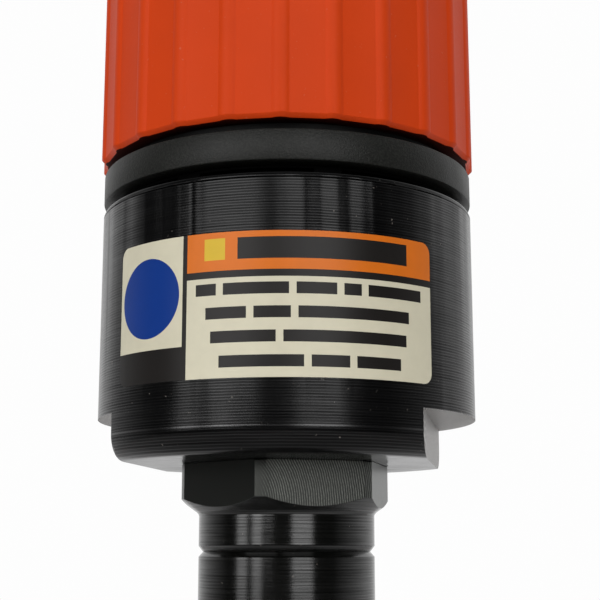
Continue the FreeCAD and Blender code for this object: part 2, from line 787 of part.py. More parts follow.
def front_end_plate():
    """Plate that carries the front bearing."""
    plate = rod(tube_bore_d, front_plate_z, washer_z)
    return plate.cut([rod(front_bearing[1], front_bearing_z, washer_z + over),
                      rod(front_bearing[0] + 2 * shaft_gap, front_plate_z - over, washer_z),
                      rod(race_relief(front_bearing), front_bearing_z - free_gap, washer_z),
                      rod(dowel_d, front_plate_z - over, front_bearing_z - dowel_end, dowel_x, 0)])


def preload_washer():
    """Spring washer that presses on the front bearing."""
    outside = front_bearing[1] - 2 * washer_gap
    return pipe(outside, outside - 2 * washer_w, washer_z, cap_back)


def rotor():
    """Slotted rotor with its journals and the front stud."""
    low = cylinder_z + end_gap
    high = front_plate_z - end_gap
    drum = rod(rotor_d, low, high)
    rear = rod(rear_bearing[0], rear_plate_z, low)
    front = rod(front_bearing[0], high, holder_z + stud_l)
    body = drum.fuse([rear, front]).removeSplitter()
    floor = rotor_d / 2.0 - vane_slot_depth
    half = vane_t / 2.0 + run_gap
    slot = box(-half, half, floor, rotor_d, low - over, high + over)
    slot = slot.cut(rod(2 * floor, low - over, high + over))
    return body.cut([spun(slot, 360.0 * i / vane_count) for i in range(vane_count)])


def rotor_vanes():
    """Sliding vanes, lying back in their slots."""
    top = rotor_d / 2.0 - run_gap
    foot = rotor_d / 2.0 - vane_slot_depth + vane_back
    vane = box(-vane_t / 2.0, vane_t / 2.0, foot, top, cylinder_z + 2 * end_gap, front_plate_z - 2 * end_gap)
    return Part.makeCompound([spun(vane, 360.0 * i / vane_count) for i in range(vane_count)])


# ---- front cap, spindle and collet

def front_cap():
    """Hexagon cap screwed into the motor housing, with a round clamping nose."""
    hex_top = cap_z + cap_hex_h
    nose_top = hex_top + cap_nose_h
    corner_r = cap_corner_d / 2.0
    head = hexagon(cap_hex, cap_z, hex_top)
    head = head.common(turned([(0, cap_z), (corner_r, cap_z), (corner_r, hex_top - cap_edge_h),
                               (corner_r - cap_edge_w, hex_top), (0, hex_top)]))
    nose = turned([(0, hex_top), (nose_d / 2.0, hex_top), (nose_d / 2.0, nose_top),
                   (cap_front_d / 2.0, cap_front), (0, cap_front)])
    thread = rod(tube_bore_d, cap_back, cap_z)
    body = head.fuse([nose, thread]).removeSplitter()
    seal_floor = cap_front - dust_seal_h
    return body.cut([rod(holder_d + 2 * cap_room, cap_back - over, seal_floor - cap_room_end),
                     rod(dust_seal_d, cap_back - over, seal_floor - cap_pocket_end),
                     rod(dust_seal_d, seal_z, seal_z + dust_seal_h),
                     rod(holder_d + 2 * free_gap, cap_back, cap_front + over)])


def dust_seal():
    """Felt ring round the spindle in the nose."""
    return pipe(dust_seal_d, holder_d + 2 * run_gap, seal_z, seal_z + dust_seal_h)


def spindle_spacer():
    """Collar between the front bearing and the collet holder."""
    return pipe(spacer_d, front_bearing[0], spacer_z, holder_z)


def collet_holder():
    """Spindle end: screws on the rotor and takes the collet in its taper."""
    r = holder_d / 2.0
    thread_r = holder_thread_d / 2.0
    body = turned([(0, holder_z), (r, holder_z), (r, holder_thread_z), (thread_r, holder_thread_z),
                   (thread_r, holder_top - thread_chamfer), (thread_r - thread_chamfer, holder_top),
                   (0, holder_top)])
    taper_z = holder_top - collet_taper_h
    knockout_d = collet_back_d - 2 * holder_knockout_step
    return body.cut([flats_cut(holder_flats, holder_d, holder_flats_z, holder_shoulder_z),
                     rod(front_bearing[0], holder_z - over, holder_z + stud_l + stud_end),
                     rod(knockout_d, taper_z - holder_knockout_h, taper_z + over),
                     cone(collet_back_d, collet_front_d, taper_z, holder_top)])


def collet():
    """Split tapered sleeve that grips the shank."""
    bore_r = collet_bore_d / 2.0
    front_r = collet_front_d / 2.0
    low = holder_top - collet_taper_h
    top = collet_lip + collet_cone_h
    body = turned([(bore_r, low), (collet_back_d / 2.0, low), (front_r, holder_top), (front_r, collet_lip),
                   (front_r - collet_cone_w, top), (bore_r, top)])
    half = collet_slot / 2.0
    slot = box(-half, half, 0, collet_front_d, top - collet_slot_h, top + over)
    return body.cut([spun(slot, 360.0 * i / collet_slots) for i in range(collet_slots)])


def collet_nut():
    """Hexagon nut that draws the collet into its taper."""
    low = holder_thread_z + free_gap
    hex_top = collet_lip
    cone_top = collet_lip + collet_cone_h
    top = cone_top + nut_front_h
    corner_r = nut_hex / math.sqrt(3.0) - nut_corner_off
    head = hexagon(nut_hex, low, hex_top)
    head = head.common(turned([(0, low), (corner_r - nut_edge_w, low), (corner_r, low + nut_edge_h),
                               (corner_r, hex_top - nut_edge_h), (corner_r - nut_edge_w, hex_top),
                               (0, hex_top)]))
    nose_r = nut_nose_d / 2.0
    nose = turned([(0, hex_top), (nose_r, hex_top), (nose_r, top - nut_nose_edge),
                   (nose_r - nut_nose_edge, top), (0, top)])
    front_r = collet_front_d / 2.0 + nut_gap
    mouth_r = front_r - collet_cone_w
    room = turned([(0, collet_lip - nut_relief), (front_r, collet_lip - nut_relief),
                   (front_r, collet_lip + nut_gap), (mouth_r, cone_top + nut_gap), (0, cone_top + nut_gap)])
    return head.fuse(nose).removeSplitter().cut([
        rod(holder_thread_d + 2 * run_gap, low - over, holder_top + 2 * nut_gap),
        room,
        rod(2 * mouth_r, collet_lip, top + over),
    ])


# ---- all pieces

rear_outer, rear_inner, rear_balls = race_pair(rear_bearing, rear_plate_z)
front_outer, front_inner, front_balls = race_pair(front_bearing, front_bearing_z)

pieces = {
    "inlet_swivel": inlet_swivel(),
    "swivel_seal": swivel_seal(),
    "swivel_snap_ring": swivel_snap_ring(),
    "inlet_bushing": inlet_bushing(),
    "inlet_screen": inlet_screen(),
    "valve_housing": valve_housing(),
    "info_label": info_label(),
    "valve_seat": valve_seat(),
    "throttle_valve": throttle_valve(),
    "valve_spring": valve_spring(),
    "valve_plug": valve_plug(),
    "plug_seal": plug_seal(),
    "push_pin": push_pin(),
    "pin_seal": pin_seal(),
    "lever_pin": lever_pin(),
    "throttle_lever": throttle_lever(),
    "exhaust_ring": exhaust_ring(),
    "muffler_ring": muffler_ring(),
    "motor_housing": motor_housing(),
    "grip_sleeve": grip_sleeve(),
    "housing_gasket": housing_gasket(),
    "rear_end_plate": rear_end_plate(),
    "rear_bearing_outer": rear_outer,
    "rear_bearing_inner": rear_inner,
    "rear_bearing_balls": rear_balls,
    "cylinder_liner": cylinder_liner(),
    "locating_pin": locating_pin(),
    "rotor": rotor(),
    "rotor_vanes": rotor_vanes(),
    "front_end_plate": front_end_plate(),
    "front_bearing_outer": front_outer,
    "front_bearing_inner": front_inner,
    "front_bearing_balls": front_balls,
    "preload_washer": preload_washer(),
    "spindle_spacer": spindle_spacer(),
    "front_cap": front_cap(),
    "dust_seal": dust_seal(),
    "collet_holder": collet_holder(),
    "collet": collet(),
    "collet_nut": collet_nut(),
}

os.makedirs("parts", exist_ok=True)
for name, shape in pieces.items():
    shape.exportStep("parts/" + name + ".step")
    print(name, "solids", len(shape.Solids), "valid", shape.isValid(), "volume", round(shape.Volume, 2))
print("pin travel", round(pin_travel, 3), "length", round(pieces["collet_nut"].BoundBox.ZMax, 2))
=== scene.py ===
import bpy
import json
import math
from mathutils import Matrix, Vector


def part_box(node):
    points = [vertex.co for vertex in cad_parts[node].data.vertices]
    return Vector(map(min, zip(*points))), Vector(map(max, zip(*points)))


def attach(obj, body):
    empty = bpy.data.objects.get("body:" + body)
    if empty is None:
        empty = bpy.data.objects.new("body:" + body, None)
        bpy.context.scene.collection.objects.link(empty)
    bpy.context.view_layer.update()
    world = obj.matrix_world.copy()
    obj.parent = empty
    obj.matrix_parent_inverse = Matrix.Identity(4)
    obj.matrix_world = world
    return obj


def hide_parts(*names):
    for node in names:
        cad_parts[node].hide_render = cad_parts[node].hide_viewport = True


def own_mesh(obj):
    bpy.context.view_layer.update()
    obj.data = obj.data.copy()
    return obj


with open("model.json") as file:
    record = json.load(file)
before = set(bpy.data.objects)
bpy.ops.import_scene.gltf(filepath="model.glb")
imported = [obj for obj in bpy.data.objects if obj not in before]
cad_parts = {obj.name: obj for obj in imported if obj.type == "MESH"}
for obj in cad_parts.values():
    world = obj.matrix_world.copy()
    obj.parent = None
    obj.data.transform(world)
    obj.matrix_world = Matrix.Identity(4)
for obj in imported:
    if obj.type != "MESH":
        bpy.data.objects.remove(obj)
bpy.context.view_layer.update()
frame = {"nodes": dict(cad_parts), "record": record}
print("frame loaded:", len(frame["nodes"]), "nodes")

mm = 0.001
scene = bpy.context.scene


# ---- small tools for shaping

def aroundAxis(angle, radius, z):
    turn = math.radians(angle)      # counted from -Y towards +X
    return Vector((radius * math.sin(turn), -radius * math.cos(turn), z))


def startPoint(name, point):
    bpy.ops.object.select_all(action="DESELECT")
    bpy.ops.mesh.primitive_plane_add(size=mm)
    piece = bpy.context.object
    piece.name = name
    bpy.ops.object.mode_set(mode="EDIT")
    bpy.ops.mesh.select_all(action="SELECT")
    bpy.ops.mesh.merge(type="CENTER")
    bpy.ops.transform.translate(value=point)
    return piece


def drawOutline(points):            # goes on from the selected point
    for here, there in zip(points, points[1:]):
        bpy.ops.mesh.extrude_region_move(TRANSFORM_OT_translate={"value": there - here})


def joinPoints(threshold=0.0005):
    bpy.ops.mesh.select_all(action="SELECT")
    bpy.ops.mesh.remove_doubles(threshold=threshold * mm)
    bpy.ops.mesh.select_all(action="SELECT")


def tidyMesh():
    joinPoints()
    bpy.ops.mesh.normals_make_consistent(inside=False)
    bpy.ops.object.mode_set(mode="OBJECT")


def turnPiece(name, profile, steps=144):
    points = [Vector((r * mm, 0, z * mm)) for r, z in profile]
    points.append(points[0])
    piece = startPoint(name, points[0])
    drawOutline(points)
    joinPoints()
    bpy.ops.mesh.spin(steps=steps, angle=2 * math.pi, center=(0, 0, 0), axis=(0, 0, 1), use_auto_merge=True)
    tidyMesh()
    return piece


def cornerArc(centre, radius, start, end, count=6):
    points = []
    for i in range(count + 1):
        a = math.radians(start + (end - start) * i / count)
        points.append((centre[0] + radius * math.cos(a), centre[1] + radius * math.sin(a)))
    return points


def pick(piece):
    bpy.ops.object.select_all(action="DESELECT")
    piece.select_set(True)
    bpy.context.view_layer.objects.active = piece


def setPlace():                     # puts the picked piece's place and turn into its mesh
    bpy.ops.object.transform_apply(location=True, rotation=True, scale=True)


def useModifier(piece, kind, **settings):
    pick(piece)
    modifier = piece.modifiers.new(kind.lower(), kind)
    for key, value in settings.items():
        setattr(modifier, key, value)
    bpy.ops.object.modifier_apply(modifier=modifier.name)


def carve(piece, cutters, operation="DIFFERENCE"):
    for cutter in cutters:
        useModifier(piece, "BOOLEAN", object=cutter, operation=operation, solver="EXACT")
        bpy.data.objects.remove(cutter)


def roundEdges(piece, width, angle=35.0, segments=2):
    useModifier(piece, "BEVEL", width=width * mm, segments=segments, limit_method="ANGLE",
                angle_limit=math.radians(angle), harden_normals=False)


def blockAt(name, low, high):
    size = [(b - a) * mm for a, b in zip(low, high)]
    middle = [(a + b) / 2 * mm for a, b in zip(low, high)]
    bpy.ops.object.select_all(action="DESELECT")
    bpy.ops.mesh.primitive_cube_add(size=1, location=middle, scale=size)
    block = bpy.context.object
    block.name = name
    setPlace()
    return block


def sideBlocks(flat, far, low, high):       # what lies beyond the flats at +X and -X
    return [blockAt("flat", (left, -far, low), (right, far, high))
            for left, right in ((flat, far), (-far, -flat))]


def barAlongX(name, radius, half, y, z, sides=48):
    bpy.ops.object.select_all(action="DESELECT")
    bpy.ops.mesh.primitive_cylinder_add(vertices=sides, radius=radius * mm, depth=2 * half * mm,
                                        location=(0, y * mm, z * mm), rotation=(0, math.pi / 2, 0))
    bar = bpy.context.object
    bar.name = name
    setPlace()
    return bar


def turnAboutAxis(piece, angle):
    pick(piece)
    piece.rotation_euler = (0, 0, math.radians(angle))
    setPlace()
    return piece


def hexBar(name, across, low, high, turn=0.0):
    bpy.ops.object.select_all(action="DESELECT")
    bpy.ops.mesh.primitive_cylinder_add(vertices=6, radius=across / math.sqrt(3) * mm, depth=(high - low) * mm,
                                        location=(0, 0, (low + high) / 2 * mm))
    bar = bpy.context.object
    bar.name = name
    setPlace()
    return turnAboutAxis(bar, turn + 30.0)      # the primitive has a corner on +Y


def finishPiece(piece, material, body, slot, *nodes, smooth=30.0):
    pick(piece)
    bpy.ops.object.shade_smooth_by_angle(angle=math.radians(smooth))
    piece.data.materials.clear()
    piece.data.materials.append(material)
    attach(piece, body)
    if nodes:
        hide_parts(*nodes)
    return piece


# ---- small tools for materials

def newMaterial(name, colour, roughness, metallic=0.0):
    material = bpy.data.materials.new(name)
    material.use_nodes = True
    shader = material.node_tree.nodes["Principled BSDF"]
    shader.inputs["Base Color"].default_value = (*colour, 1)
    shader.inputs["Roughness"].default_value = roughness
    shader.inputs["Metallic"].default_value = metallic
    return material, material.node_tree, shader


def node(tree, kind, settings=None, **inputs):
    made = tree.nodes.new("ShaderNode" + kind)
    for key, value in (settings or {}).items():
        setattr(made, key, value)
    for key, value in inputs.items():
        socket = made.inputs[key.replace("_", " ")]
        if isinstance(value, bpy.types.NodeSocket):
            tree.links.new(value, socket)
        else:
            socket.default_value = value
    return made


def math2(tree, operation, first, second=0.0, clamp=False):
    made = tree.nodes.new("ShaderNodeMath")
    made.operation = operation
    made.use_clamp = clamp
    for socket, value in zip(made.inputs, (first, second)):
        if isinstance(value, bpy.types.NodeSocket):
            tree.links.new(value, socket)
        else:
            socket.default_value = value
    return made.outputs[0]


def waveScale(pitch):               # a wave texture repeats every 2 pi / 20 units at scale 1
    return 2 * math.pi / (20 * pitch * mm)


def scaled(colour, share):
    return tuple(min(1.0, c * share) for c in colour)


def objectPlace(tree):
    return tree.nodes.new("ShaderNodeTexCoord").outputs["Object"]


def mixColour(tree, factor, first, second):
    made = tree.nodes.new("ShaderNodeMix")
    made.data_type = "RGBA"
    for socket, value in zip((made.inputs[0], made.inputs[6], made.inputs[7]), (factor, first, second)):
        if isinstance(value, bpy.types.NodeSocket):
            tree.links.new(value, socket)
        else:
            socket.default_value = value if isinstance(value, float) else (*value, 1)
    return made.outputs[2]


def spread(tree, value, low, high, fromLow=0.0, fromHigh=1.0):
    made = tree.nodes.new("ShaderNodeMapRange")
    tree.links.new(value, made.inputs["Value"])
    made.inputs["From Min"].default_value = fromLow
    made.inputs["From Max"].default_value = fromHigh
    made.inputs["To Min"].default_value = low
    made.inputs["To Max"].default_value = high
    return made.outputs[0]


def grain(tree, place, scale, detail=3.0, roughness=0.6):
    noise = node(tree, "TexNoise", Vector=place, Scale=scale, Detail=detail, Roughness=roughness)
    return noise.outputs["Fac"]


def raiseSurface(tree, shader, height, distance, strength=1.0):
    bump = node(tree, "Bump", Height=height, Distance=distance, Strength=strength)
    tree.links.new(bump.outputs[0], shader.inputs["Normal"])
    return bump


# ---- camera and light

view = dict(
    distance=149.56 * mm,     # camera to tool axis
    height=16.5 * mm,
    side=10.0,                # degrees round the tool, from -Y towards +X
    turn=9.41,                # heading, degrees from +Y towards -X
    pitch=11.06,
    lens=76.2,
)


def makeCamera():
    bpy.ops.object.camera_add(location=aroundAxis(view["side"], view["distance"], view["height"]))
    camera = bpy.context.object
    camera.name = "camera"
    pitch = math.radians(view["pitch"])
    turn = math.radians(view["turn"])
    ahead = Vector((-math.sin(turn) * math.cos(pitch), math.cos(turn) * math.cos(pitch), math.sin(pitch)))
    camera.rotation_euler = ahead.to_track_quat("-Z", "Y").to_euler()
    camera.data.lens = view["lens"]
    camera.data.sensor_width = 36.0
    camera.data.clip_start = 0.005
    camera.data.clip_end = 50.0
    scene.camera = camera


studio = dict(
    reach=0.62,                     # axis to the softboxes, m
    softboxes=dict(                 # angle in degrees, width, low and high end in m, power in W
        left=(-26.0, 0.50, 0.15, 0.52, 1.58),
        middle=(-21.0, 0.30, 0.058, 0.15, 0.36),
        lower=(-28.0, 0.135, -0.02, 0.062, 0.11),
        strip=(-48.5, 0.155, -0.02, 0.15, 0.24),
        right=(25.5, 0.45, 0.15, 0.52, 1.47),
        rightLower=(30.0, 0.29, -0.02, 0.15, 0.48),
    ),
    topAt=(0.1, -0.1, 1.1), topSize=0.9, topPower=1.0,
    front=0.05, behind=1.12,        # brightness of the room before and behind the tool
    backdrop=0.985,
    tableRadius=0.09, tableDrop=0.3 * mm, tableColour=(0.82, 0.82, 0.82),
)


def makeSoftbox(name, angle, width, low, high, power):
    spot = aroundAxis(angle, studio["reach"], (low + high) / 2)
    bpy.ops.object.light_add(type="AREA", location=spot)
    softbox = bpy.context.object
    softbox.name = name
    softbox.data.shape = "RECTANGLE"
    softbox.data.size = width
    softbox.data.size_y = high - low
    softbox.data.energy = power
    aim = Vector((-spot.x, -spot.y, 0))
    softbox.rotation_euler = aim.to_track_quat("-Z", "Y").to_euler()


def makeRoom():
    world = bpy.data.worlds.new("room")
    scene.world = world
    world.use_nodes = True
    tree = world.node_tree
    tree.nodes.clear()
    place = tree.nodes.new("ShaderNodeTexCoord").outputs["Generated"]
    along = node(tree, "SeparateXYZ", Vector=place).outputs["Y"]
    glow = spread(tree, along, studio["front"], studio["behind"], -0.3, 0.6)
    room = node(tree, "Background", Strength=glow)
    pale = studio["backdrop"]
    backdrop = node(tree, "Background", Color=(pale, pale, pale, 1))
    path = tree.nodes.new("ShaderNodeLightPath")
    mix = tree.nodes.new("ShaderNodeMixShader")
    out = tree.nodes.new("ShaderNodeOutputWorld")
    tree.links.new(path.outputs["Is Camera Ray"], mix.inputs[0])
    tree.links.new(room.outputs[0], mix.inputs[1])
    tree.links.new(backdrop.outputs[0], mix.inputs[2])
    tree.links.new(mix.outputs[0], out.inputs["Surface"])


def makeStudio():
    for name, softbox in studio["softboxes"].items():
        makeSoftbox(name + "Softbox", *softbox)
    bpy.ops.object.light_add(type="AREA", location=studio["topAt"])
    top = bpy.context.object
    top.name = "softboxTop"
    top.data.size = studio["topSize"]
    top.data.energy = studio["topPower"]
    makeRoom()
    bpy.ops.object.select_all(action="DESELECT")
    bpy.ops.mesh.primitive_circle_add(vertices=96, radius=studio["tableRadius"], fill_type="NGON",
                                      location=(0, 0, -studio["tableDrop"]))
    table = bpy.context.object
    table.name = "table"
    table.data.materials.append(newMaterial("tablePaint", studio["tableColour"], 0.6)[0])
    scene.view_settings.view_transform = "Standard"


makeCamera()
makeStudio()
print("camera and light set")


# ---- finishes

def turnedBlack(name, pitch, depth, colour=(0.0020, 0.0020, 0.0021), roughness=0.21, regular=1.0, shine=0.13,
                wornAt=None):
    material, tree, shader = newMaterial(name, colour, roughness)
    place = objectPlace(tree)
    wave = node(tree, "TexWave", dict(wave_type="BANDS", bands_direction="Z", wave_profile="SIN"),
                Vector=place, Scale=waveScale(pitch), Distortion=0.5, Detail=1.0,
                Detail_Scale=0.4).outputs["Fac"]
    rings = spread(tree, wave, 0.0, regular, 0.62, 0.98)
    streak = node(tree, "Mapping", Vector=place, Scale=(90.0, 90.0, 9000.0)).outputs[0]
    fine = grain(tree, streak, 1.0, 5.0, 0.7)
    cloud = grain(tree, place, 260.0, 3.0)
    scratches = math2(tree, "MULTIPLY", spread(tree, fine, 0.0, 1.0, 0.35, 0.68), 0.8)
    lines = math2(tree, "ADD", rings, scratches)
    raiseSurface(tree, shader, lines, depth * mm)
    rough = math2(tree, "ADD", spread(tree, fine, -0.05, 0.06), spread(tree, cloud, -0.03, 0.03))
    tree.links.new(math2(tree, "ADD", rough, roughness), shader.inputs["Roughness"])
    tone = math2(tree, "MULTIPLY", lines, spread(tree, fine, 0.25, 0.9), clamp=True)
    worn = mixColour(tree, tone, colour, scaled(colour, 2.0))
    dust = grain(tree, place, 2300.0, 1.0, 0.4)
    specks = math2(tree, "MULTIPLY", spread(tree, dust, 0.0, 0.5, 0.755, 0.80),
                   spread(tree, cloud, 0.0, 1.0, 0.45, 0.6))
    tree.links.new(mixColour(tree, specks, worn, (0.30, 0.27, 0.24)), shader.inputs["Base Color"])
    gleam = spread(tree, lines, shine * 0.5, shine * 3.2, 0.1, 1.5)
    if wornAt:
        rise = node(tree, "SeparateXYZ", Vector=place).outputs["Z"]
        away = math2(tree, "ABSOLUTE", math2(tree, "SUBTRACT", rise, wornAt * mm))
        edge = spread(tree, away, 1.1, 0.0, 0.04 * mm, 0.16 * mm)
        gleam = math2(tree, "ADD", gleam, math2(tree, "MULTIPLY", edge, spread(tree, fine, 0.2, 1.0)))
    tree.links.new(gleam, shader.inputs["Specular IOR Level"])
    return material


def blastedBlack(name, colour=(0.0070, 0.0073, 0.0062), roughness=0.42):
    material, tree, shader = newMaterial(name, colour, roughness)
    place = objectPlace(tree)
    speckle = grain(tree, place, 5200.0, 2.0, 0.5)
    patchy = grain(tree, place, 300.0, 3.0)
    raiseSurface(tree, shader, speckle, 0.035 * mm)
    light = spread(tree, speckle, 0.0, 1.0, 0.42, 0.72)
    tree.links.new(mixColour(tree, light, colour, scaled(colour, 2.6)), shader.inputs["Base Color"])
    tree.links.new(spread(tree, patchy, roughness - 0.07, roughness + 0.09), shader.inputs["Roughness"])
    shader.inputs["Specular IOR Level"].default_value = 0.25
    return material


def plainFinish(name, colour, roughness, metallic=0.0, scale=900.0, depth=0.004, change=0.25, shine=0.5):
    material, tree, shader = newMaterial(name, colour, roughness, metallic)
    place = objectPlace(tree)
    fine = grain(tree, place, scale, 4.0)
    broad = grain(tree, place, scale / 9.0, 3.0)
    tree.links.new(mixColour(tree, broad, scaled(colour, 1 - change), scaled(colour, 1 + change)),
                   shader.inputs["Base Color"])
    tree.links.new(spread(tree, fine, roughness - 0.07, roughness + 0.07), shader.inputs["Roughness"])
    raiseSurface(tree, shader, fine, depth * mm)
    shader.inputs["Specular IOR Level"].default_value = shine
    return material


def redMoulding(name, colour=(0.70, 0.056, 0.0032)):
    material, tree, shader = newMaterial(name, colour, 0.52)
    place = objectPlace(tree)
    fine = grain(tree, place, 2600.0, 3.0)
    broad = grain(tree, place, 90.0, 4.0)
    dust = grain(tree, place, 2600.0, 1.0, 0.4)
    base = mixColour(tree, broad, scaled(colour, 0.92), scaled(colour, 1.07))
    specks = spread(tree, dust, 0.0, 0.22, 0.74, 0.82)
    tree.links.new(mixColour(tree, specks, base, (0.62, 0.3, 0.2)), shader.inputs["Base Color"])
    tree.links.new(spread(tree, fine, 0.46, 0.6), shader.inputs["Roughness"])
    raiseSurface(tree, shader, fine, 0.006 * mm)
    shader.inputs["Specular IOR Level"].default_value = 0.14
    return material


def milledSteel(name, colour=(0.045, 0.047, 0.043), roughness=0.3, metallic=0.85, centre=(-5.2, -14.9, 21.0),
                pitch=0.27, plainLeft=False):
    material, tree, shader = newMaterial(name, colour, roughness, metallic)
    place = objectPlace(tree)
    shifted = node(tree, "Mapping", Vector=place, Location=tuple(-c * mm for c in centre)).outputs[0]
    arcs = node(tree, "TexWave", dict(wave_type="RINGS", rings_direction="SPHERICAL", wave_profile="SIN"),
                Vector=shifted, Scale=waveScale(pitch), Distortion=2.4, Detail=4.0,
                Detail_Scale=0.9).outputs["Fac"]
    if plainLeft:
        across = node(tree, "SeparateXYZ", Vector=place).outputs["X"]
        arcs = math2(tree, "MULTIPLY", arcs, spread(tree, across, 0.0, 1.0, -2 * mm, 1 * mm))
    arcs = spread(tree, arcs, 0.0, 1.0, 0.35, 0.95)
    fine = grain(tree, place, 4200.0, 4.0)
    height = math2(tree, "ADD", arcs, math2(tree, "MULTIPLY", fine, 0.9))
    raiseSurface(tree, shader, height, 0.007 * mm)
    bright = math2(tree, "MULTIPLY", arcs, spread(tree, fine, 0.3, 1.0, 0.3, 0.7))
    tree.links.new(mixColour(tree, bright, scaled(colour, 0.7), scaled(colour, 4.0)),
                   shader.inputs["Base Color"])
    tree.links.new(spread(tree, fine, roughness - 0.06, roughness + 0.1), shader.inputs["Roughness"])
    return material


housingFinish = turnedBlack("housingTurned", 0.3, 0.0022, wornAt=28.65)
neckFinish = turnedBlack("neckTurned", 0.33, 0.0022, (0.0020, 0.0021, 0.0018), 0.14, 0.35, 0.42)
ringFinish = blastedBlack("ringBlasted")
gripFinish = redMoulding("gripMoulding")
hexFinish = milledSteel("hexMilled", plainLeft=True)
flatFinish = milledSteel("flatMilled", (0.20, 0.193, 0.188), 0.45, 0.8)
# painted shade: near-black colour for the exhaust slot's inner wall, ports and thread, which lie in shade
paintedSlotShade = plainFinish("slotPaintedShade", (0.0012, 0.0012, 0.0012), 0.6, shine=0.03)
# painted shade: dark red for the grip's underside in the recess above the ring, where shade falls
paintedUndersideShade = plainFinish("gripUndersidePaintedShade", (0.05, 0.006, 0.003), 0.6, shine=0.05)
print("finishes made")


def printedLabel(name):
    art = dict(
        cream=(0.76, 0.715, 0.545), orange=(0.80, 0.185, 0.010), blue=(0.002, 0.040, 0.27),
        ink=(0.013, 0.011, 0.010),
        divider=(-19.7, -18.3),                  # degrees round the housing
        header=(44.7, 60.0), headerLine=(43.95, 44.7), footer=(30.0, 37.0),     # heights, mm
        discAt=(-32.2, 42.6), discTall=4.35, discWide=11.4,
        rows=(                                   # height, then start and end of each plain block
            (42.75, (-15.5, -9.5), (-7.5, 10.5), (12.5, 23.5), (25.5, 30.5), (32.5, 50.0)),
            (40.25, (-12.5, -1.0), (1.0, 11.0), (13.0, 45.5)),
            (37.75, (-11.0, 7.0), (9.0, 44.5)),
            (35.2, (-8.5, 14.5), (16.5, 27.0), (29.0, 42.5)),
        ),
        rowTall=0.62,
        heading=((45.85, 48.15), (-3.5, 45.0)),      # heights, then degrees
        badge=((45.85, 48.15), (-13.0, -7.0)),
        yellow=(0.78, 0.52, 0.03),
    )
    material, tree, shader = newMaterial(name, art["cream"], 0.34)
    place = objectPlace(tree)
    split = node(tree, "SeparateXYZ", Vector=place)
    turn = math2(tree, "ARCTAN2", split.outputs["X"], math2(tree, "MULTIPLY", split.outputs["Y"], -1.0))
    angle = math2(tree, "MULTIPLY", turn, 180 / math.pi)
    height = math2(tree, "MULTIPLY", split.outputs["Z"], 1 / mm)

    def between(value, low, high):
        above = math2(tree, "GREATER_THAN", value, low)
        return math2(tree, "MULTIPLY", above, math2(tree, "LESS_THAN", value, high))

    def both(first, second):
        return math2(tree, "MULTIPLY", first, second)

    leftSide = math2(tree, "LESS_THAN", angle, art["divider"][0])
    rightSide = math2(tree, "GREATER_THAN", angle, art["divider"][1])
    across = math2(tree, "DIVIDE", math2(tree, "SUBTRACT", angle, art["discAt"][0]), art["discWide"])
    upward = math2(tree, "DIVIDE", math2(tree, "SUBTRACT", height, art["discAt"][1]), art["discTall"])
    reach = math2(tree, "ADD", both(across, across), both(upward, upward))
    disc = math2(tree, "LESS_THAN", reach, 1.0)
    colour = mixColour(tree, disc, art["cream"], art["blue"])
    colour = mixColour(tree, both(rightSide, between(height, *art["header"])), colour, art["orange"])
    dark = both(leftSide, between(height, *art["footer"]))
    dark = math2(tree, "MAXIMUM", dark, between(angle, *art["divider"]))
    dark = math2(tree, "MAXIMUM", dark, both(rightSide, between(height, *art["headerLine"])))
    for middle, *blocks in art["rows"]:
        line = between(height, middle - art["rowTall"], middle + art["rowTall"])
        for start, end in blocks:
            dark = math2(tree, "MAXIMUM", dark, both(between(angle, start, end), line))
    heading, badge = (both(between(height, *art[key][0]), between(angle, *art[key][1]))
                      for key in ("heading", "badge"))
    colour = mixColour(tree, math2(tree, "MAXIMUM", dark, heading), colour, art["ink"])
    colour = mixColour(tree, badge, colour, art["yellow"])
    fine = grain(tree, place, 6500.0, 2.0)
    broad = grain(tree, place, 420.0, 3.0)
    shade = mixColour(tree, broad, (0.86, 0.86, 0.86), (1.0, 1.0, 1.0))
    blend = node(tree, "Mix", dict(data_type="RGBA", blend_type="MULTIPLY"))
    blend.inputs[0].default_value = 1.0
    tree.links.new(colour, blend.inputs[6])
    tree.links.new(shade, blend.inputs[7])
    tree.links.new(blend.outputs[2], shader.inputs["Base Color"])
    tree.links.new(spread(tree, fine, 0.28, 0.42), shader.inputs["Roughness"])
    raiseSurface(tree, shader, fine, 0.004 * mm)
    shader.inputs["Specular IOR Level"].default_value = 0.22
    return material


finishes = dict(
    black_housing=housingFinish,
    black_ring=ringFinish,
    red_grip=gripFinish,
    dark_steel=hexFinish,
    label_film=printedLabel("labelPrint"),
    tube_steel=plainFinish("tubeBlack", (0.0025, 0.0025, 0.0026), 0.45, 0.0, 1400.0, 0.008, shine=0.1),
    bright_steel=plainFinish("steelTurned", (0.46, 0.46, 0.47), 0.3, 1.0, 1800.0, 0.004, 0.12),
    ground_steel=plainFinish("steelGround", (0.58, 0.58, 0.59), 0.16, 1.0, 2600.0, 0.001, 0.06),
    brass_parts=plainFinish("brassTurned", (0.62, 0.42, 0.15), 0.28, 1.0, 1500.0, 0.003, 0.14),
    seal_rubber=plainFinish("rubberBlack", (0.012, 0.012, 0.013), 0.62, 0.0, 1200.0, 0.01),
    felt=plainFinish("feltGrey", (0.28, 0.27, 0.25), 0.95, 0.0, 2400.0, 0.12, 0.35),
    vane_composite=plainFinish("vaneResin", (0.12, 0.05, 0.025), 0.5, 0.0, 1600.0, 0.01, 0.3),
    cast_parts=plainFinish("castIron", (0.13, 0.13, 0.132), 0.45, 0.9, 1300.0, 0.02, 0.3),
    gasket_paper=plainFinish("gasketPaper", (0.28, 0.21, 0.12), 0.8, 0.0, 1700.0, 0.02, 0.2),
)

for row in frame["record"]["subparts"]:
    shown = frame["nodes"][row["node"]]
    shown.data.materials.clear()
    shown.data.materials.append(finishes[row["material_slot"]])
print("finishes on", len(frame["nodes"]), "nodes")


# ---- heights from the frame, mm

def ends(nodeName):
    low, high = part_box(nodeName)
    return low.z / mm, high.z / mm


